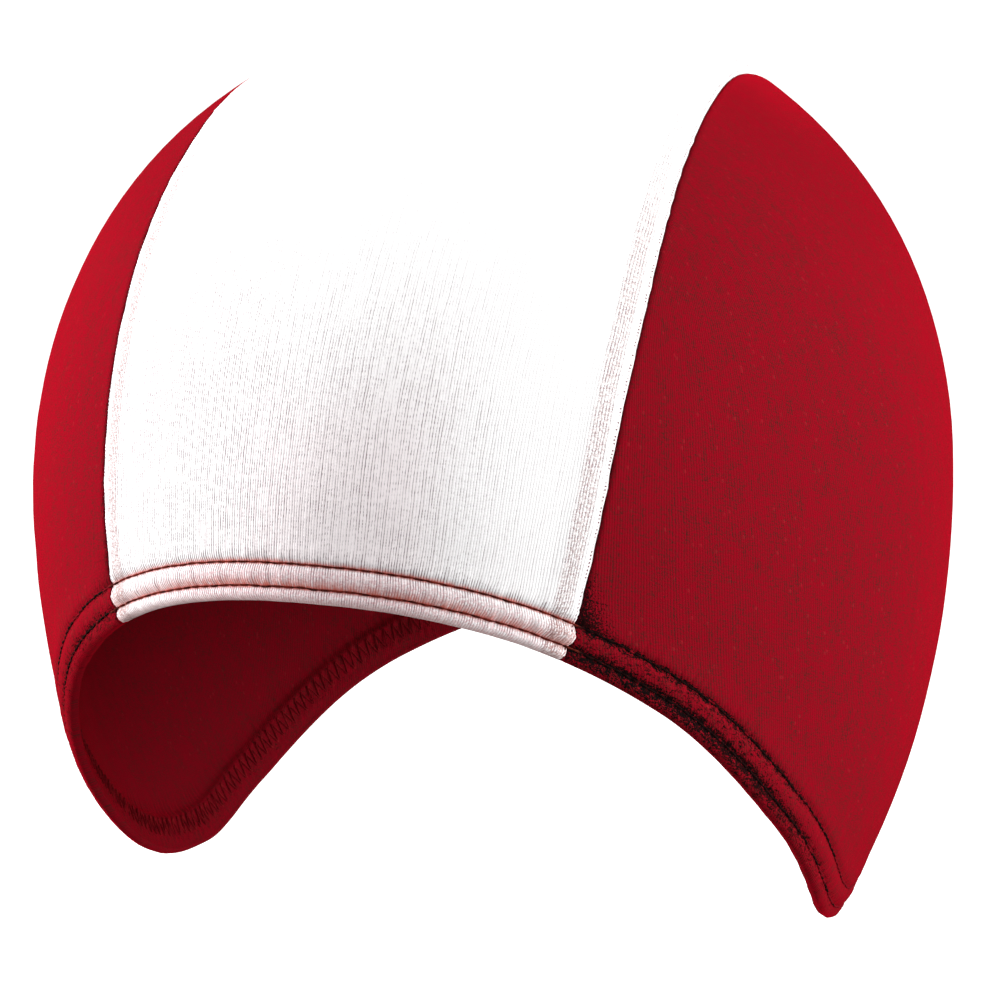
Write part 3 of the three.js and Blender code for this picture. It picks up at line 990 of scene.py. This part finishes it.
def mark_white_seams(nodes, knit, colour, band, right_side_shade):
    """The allowance shows through in specks, and the seam stitches leave holes beside the seam."""
    # The specks are painted darker towards the seam on the wearer's right too, painted shade against the
    # strong side light there.
    specks = nodes.times(
        band,
        nodes.range(knit.grain, 0.42, 0.66, 0.08, 0.7),
        nodes.plus(nodes.times(right_side_shade, 0.4), 1.0),
    )
    colour = nodes.blend(specks, colour, ALLOWANCE_SPECKS)
    stitch = nodes.math("DIVIDE", knit.along, HOLE_PITCH)
    wander = nodes.times(nodes.pattern(knit.along, 0.0, HOLE_WANDER), 0.6)
    column = nodes.math("ABSOLUTE", nodes.minus(knit.from_seam, nodes.plus(wander, 0.3)))
    stitch_random = nodes.speck(nodes.join(nodes.math("FLOOR", stitch), 2.0))
    holes = nodes.times(
        nodes.range(column, 0.24, 0.1),
        nodes.range(nodes.off_middle(stitch), 0.34, 0.16),
        nodes.range(stitch_random, 0.1, 0.7, 0.35, 0.95),
    )
    colour = nodes.blend(holes, colour, SEAM_HOLES)
    ditch = nodes.range(knit.from_seam, *WHITE_DITCH_WIDTH, 0.0, 0.7)
    return nodes.blend(ditch, colour, WHITE_DITCH)


def white_knit():
    nodes = Nodes("white_knit_jersey")
    knit = Knit(nodes, WHITE_GAUGE, WHITE_GRAIN)
    band = allowance_band(nodes, knit)
    # The gaps and specks are painted darker towards the seam on the wearer's right: painted shade set against
    # the strong side light there.
    right_side_shade = nodes.range(nodes.place(0), *RIGHT_SEAM_SHADE)
    colour = nodes.blend(rosy_tint(nodes, knit), WHITE_CLOTH, ROSY_CLOTH)
    colour = nodes.blend(white_gaps(nodes, knit, band, right_side_shade), colour, WHITE_GAPS)
    colour = tint_white_hem(nodes, knit, colour)
    colour = mark_white_seams(nodes, knit, colour, band, right_side_shade)
    return nodes.finish(colour, knit.height, WHITE_BUMP, 0.1, WHITE, 0.1)


def mottled_red(nodes, knit):
    """The red cloth, with dark gaps and dashes of uneven strength and a few lighter stitches."""
    cloud = nodes.range(knit.pattern(RED_CLOUD), 0.34, 0.66, 0.35, 0.9)
    streaks = knit.pattern(RED_STREAKS)
    lines = nodes.times(
        knit.gap,
        nodes.range(streaks, 0.38, 0.6, 0.0, 1.8),
        nodes.range(knit.cell_random, 0.2, 0.8, 0.3, 1.2),
        knit.wale_random,
    )
    dark = nodes.plus(
        lines,
        nodes.range(knit.pattern(RED_DASHES), 0.45, 0.66, 0.0, 0.65),
        nodes.range(streaks, 0.45, 0.7, 0.0, 0.35),
        nodes.range(knit.grain, 0.46, 0.7, 0.0, 0.7),
    )
    colour = nodes.blend(nodes.math("MULTIPLY", dark, cloud, clamp=True), RED_CLOTH, RED_GAPS)
    lighter = nodes.math(
        "MAXIMUM",
        nodes.times(nodes.range(streaks, 0.4, 0.25), nodes.range(knit.grain, 0.42, 0.28, 0.0, 0.6)),
        nodes.range(knit.cell_random, 0.985, 1.0, 0.0, 0.16),
    )
    return nodes.blend(lighter, colour, RED_LIGHTER)


def hem_painted_shade(nodes, knit, towards_front):
    """Painted shade in the hollows along the rows of stitching, most of all towards the front and on the
    left.
    """
    low_row, high_row = STITCH_ROWS
    level = nodes.plus(
        nodes.pattern(knit.along_hem, knit.from_hem, SHADE_PATCHES),
        nodes.range(knit.grain, 0.36, 0.64, -0.055, 0.055),
        nodes.times(knit.near_row(low_row, 1.5, 2.8), 0.12),
        nodes.times(knit.near_row(high_row, 0.9, 1.2), 0.1),
        nodes.range(towards_front, 0.0, 1.0, -0.08, 0.05),
    )
    level = nodes.minus(level, nodes.range(knit.from_hem, *SHADE_HEIGHT, 0.0, 0.3))
    level = nodes.minus(level, nodes.range(nodes.place(0), *RIGHT_HALF, 0.0, 0.06))
    return nodes.range(level, 0.575, 0.605)


def corner_painted_shade(nodes, knit, towards_front):
    """Speckled painted shade in the corner between the seam and the hem, at the front."""
    reach = nodes.plus(nodes.times(knit.from_seam, 0.75), nodes.times(knit.from_hem, 0.7))
    nearness = nodes.range(reach, 12.5, 4.8, smooth=False)
    return nodes.times(
        nodes.range(nodes.plus(knit.grain, nodes.times(nearness, 0.34)), 0.6, 0.72, 0.0, 0.95),
        nodes.range(nearness, 0.0, 0.15),
        towards_front,
        nodes.range(knit.from_hem, *CORNER_SHADE_HEIGHT),
        nodes.range(nodes.place(0), *RIGHT_HALF, 1.0, 0.35),
    )


def red_knit():
    nodes = Nodes("red_knit_jersey")
    knit = Knit(nodes, RED_GAUGE, RED_GRAIN)
    colour = mottled_red(nodes, knit)
    # Beside the stitching and in the corner by the seam the cloth is painted nearly black: painted shade in
    # the hollows that the stitching draws.
    towards_front = nodes.range(nodes.place(1), *FRONT_HALF)
    rows = hem_painted_shade(nodes, knit, towards_front)
    corner = corner_painted_shade(nodes, knit, towards_front)
    colour = nodes.blend(nodes.math("MAXIMUM", rows, corner, clamp=True), colour, RED_PAINTED_SHADE)
    # Painted shade: a dark line in the ditch of the red cloth along the seam.
    ditch = nodes.range(knit.from_seam, *RED_DITCH_SHADE_WIDTH, 0.0, 0.75)
    colour = nodes.blend(ditch, colour, RED_DITCH_SHADE)
    return nodes.finish(colour, knit.height, RED_BUMP, 0.6, RED_SHEEN, 0.0)


def thread_material(name, colours, share_on_red):
    """Thread of two shades. On the side panels this share of it takes the near black painted shade of the
    hollows, turning red behind.
    """
    nodes = Nodes(name)
    place = nodes.add("ShaderNodeTexCoord").outputs["Object"]
    colour = nodes.blend(nodes.range(nodes.noise(place, *THREAD_SHADES), 0.38, 0.66), *colours)
    # There the thread is painted near black in front, as painted shade like the hollows beside it, and turns
    # into red dashes and then plain red, its own colour, behind.
    dashes = nodes.plus(
        nodes.noise(place, *THREAD_DASHES),
        nodes.range(nodes.place(1), *THREAD_SHADE_END, -0.16, 0.13),
        nodes.range(nodes.place(0), *RIGHT_HALF, 0.0, 0.1),
    )
    on_red = nodes.blend(nodes.range(dashes, 0.5, 0.56), *THREAD_ON_RED_SHADE_TO_RED)
    beside = nodes.range(nodes.math("ABSOLUTE", nodes.place(0)), *SIDE_PANELS)
    colour = nodes.blend(nodes.times(beside, share_on_red), colour, on_red)
    twist = nodes.noise(place, *THREAD_TWIST)
    return nodes.finish(colour, twist, THREAD_BUMP, 0.0, WHITE, 0.02)


def place_piece(piece, material, node=None):
    piece.data.materials.append(material)
    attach(piece, "root")
    if node:
        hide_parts(node)
    return piece


def build_threads():
    outside = thread_material("topstitching_thread", TOPSTITCHING, 0.95)
    inside = thread_material("looper_thread", LOOPER_THREAD, 0.0)
    threads = [
        (hem_thread("hem_thread_lower", STITCH_ROWS[0]), outside),
        (hem_thread("hem_thread_upper", STITCH_ROWS[1]), outside),
        (hem_looper("hem_looper"), inside),
        (overlock("overlock_left", 1), inside),
        (overlock("overlock_right", -1), inside),
    ]
    return [place_piece(thread, material) for thread, material in threads]


def build_cap():
    side = [skins(block, False) for block in side_grid()]
    white, red = white_knit(), red_knit()
    centre = closed_mesh("cloth_centre", [skins(centre_grid(), True)])
    left = closed_mesh("cloth_left", side)
    right = closed_mesh("cloth_right", [mirror(block) for block in side], True)
    place_piece(centre, white, "panel_centre")
    place_piece(left, red, "panel_left")
    place_piece(right, red, "panel_right")
    threads = build_threads()


# The camera stands where the photograph was taken.
CAMERA_TURN = 18.8
CAMERA_RISE = 20.0
CAMERA_ROLL = 2.1
CAMERA_DISTANCE = 1200.0
PICTURE = 991
PIXELS_PER_MM = 5.88
HEAD_MIDDLE_PIXEL = (482.0, 498.0)
SENSOR = 36.0


def build_camera():
    turn, rise, roll = (math.radians(v) for v in (CAMERA_TURN, CAMERA_RISE, CAMERA_ROLL))
    right = Vector((math.cos(turn), math.sin(turn), 0))
    back = Vector((math.sin(turn) * math.cos(rise), -math.cos(turn) * math.cos(rise), math.sin(rise)))
    up = back.cross(right)
    camera_right = right * math.cos(roll) - up * math.sin(roll)
    camera_up = up * math.cos(roll) + right * math.sin(roll)
    side = (PICTURE / 2 - HEAD_MIDDLE_PIXEL[0]) / PIXELS_PER_MM
    fall = (HEAD_MIDDLE_PIXEL[1] - PICTURE / 2) / PIXELS_PER_MM
    centre = Vector(SEAT.tolist())
    place = (centre + back * CAMERA_DISTANCE + camera_right * side + camera_up * fall) * MM
    data = bpy.data.cameras.new("camera")
    data.sensor_width = SENSOR
    data.lens = PIXELS_PER_MM * SENSOR * CAMERA_DISTANCE / PICTURE
    camera = bpy.data.objects.new("camera", data)
    axes = Matrix((camera_right, camera_up, back)).transposed().to_4x4()
    camera.matrix_world = Matrix.Translation(place) @ axes
    bpy.context.scene.collection.objects.link(camera)
    bpy.context.scene.camera = camera


# Lights: name, place and size in metres, power in watts.
LIGHTS = (
    ("top", (0.1, 0.0, 1.5), 1.6, 20),
    ("left", (-1.4, -0.1, 0.1), 1.2, 44),
    ("right", (1.4, 0.35, -0.14), 1.2, 34),
    ("front", (0.4, -1.6, 0.5), 1.4, 7.5),
)
LIGHT_AIM = (0, 0.01, -0.08)
SURROUND_STRENGTH = 0.25
# The floor, in metres, and the light that keeps its paper white.
FLOOR_REACH = 8.0
FLOOR_HEIGHT = -0.75
FLOOR_PAPER = (0.9, 0.9, 0.9, 1)
FLOOR_GLOW = 0.8


def area_light(name, place, size, power):
    data = bpy.data.lights.new(name, "AREA")
    data.shape = "DISK"
    data.size = size
    data.energy = power
    light = bpy.data.objects.new(name, data)
    light.location = place
    aim = Vector(LIGHT_AIM) - Vector(place)
    light.rotation_euler = aim.to_track_quat("-Z", "Y").to_euler()
    bpy.context.scene.collection.objects.link(light)


def build_floor():
    mesh = bpy.data.meshes.new("floor")
    corners = [
        (x * FLOOR_REACH, y * FLOOR_REACH, FLOOR_HEIGHT)
        for x, y in ((-1, -1), (1, -1), (1, 1), (-1, 1))
    ]
    mesh.from_pydata(corners, [], [(0, 1, 2, 3)])
    floor = bpy.data.objects.new("floor", mesh)
    material = bpy.data.materials.new("floor_paper")
    material.use_nodes = True
    shader = material.node_tree.nodes["Principled BSDF"]
    shader.inputs["Base Color"].default_value = FLOOR_PAPER
    shader.inputs["Emission Color"].default_value = WHITE
    shader.inputs["Emission Strength"].default_value = FLOOR_GLOW
    mesh.materials.append(material)
    floor.visible_diffuse = False
    floor.visible_glossy = False
    bpy.context.scene.collection.objects.link(floor)


def build_studio():
    scene = bpy.context.scene
    scene.view_settings.view_transform = "Standard"
    world = bpy.data.worlds.new("studio")
    world.use_nodes = True
    background = world.node_tree.nodes["Background"]
    background.inputs["Color"].default_value = WHITE
    background.inputs["Strength"].default_value = SURROUND_STRENGTH
    scene.world = world
    for light in LIGHTS:
        area_light(*light)
    build_floor()


build_camera()
build_cap()
build_studio()
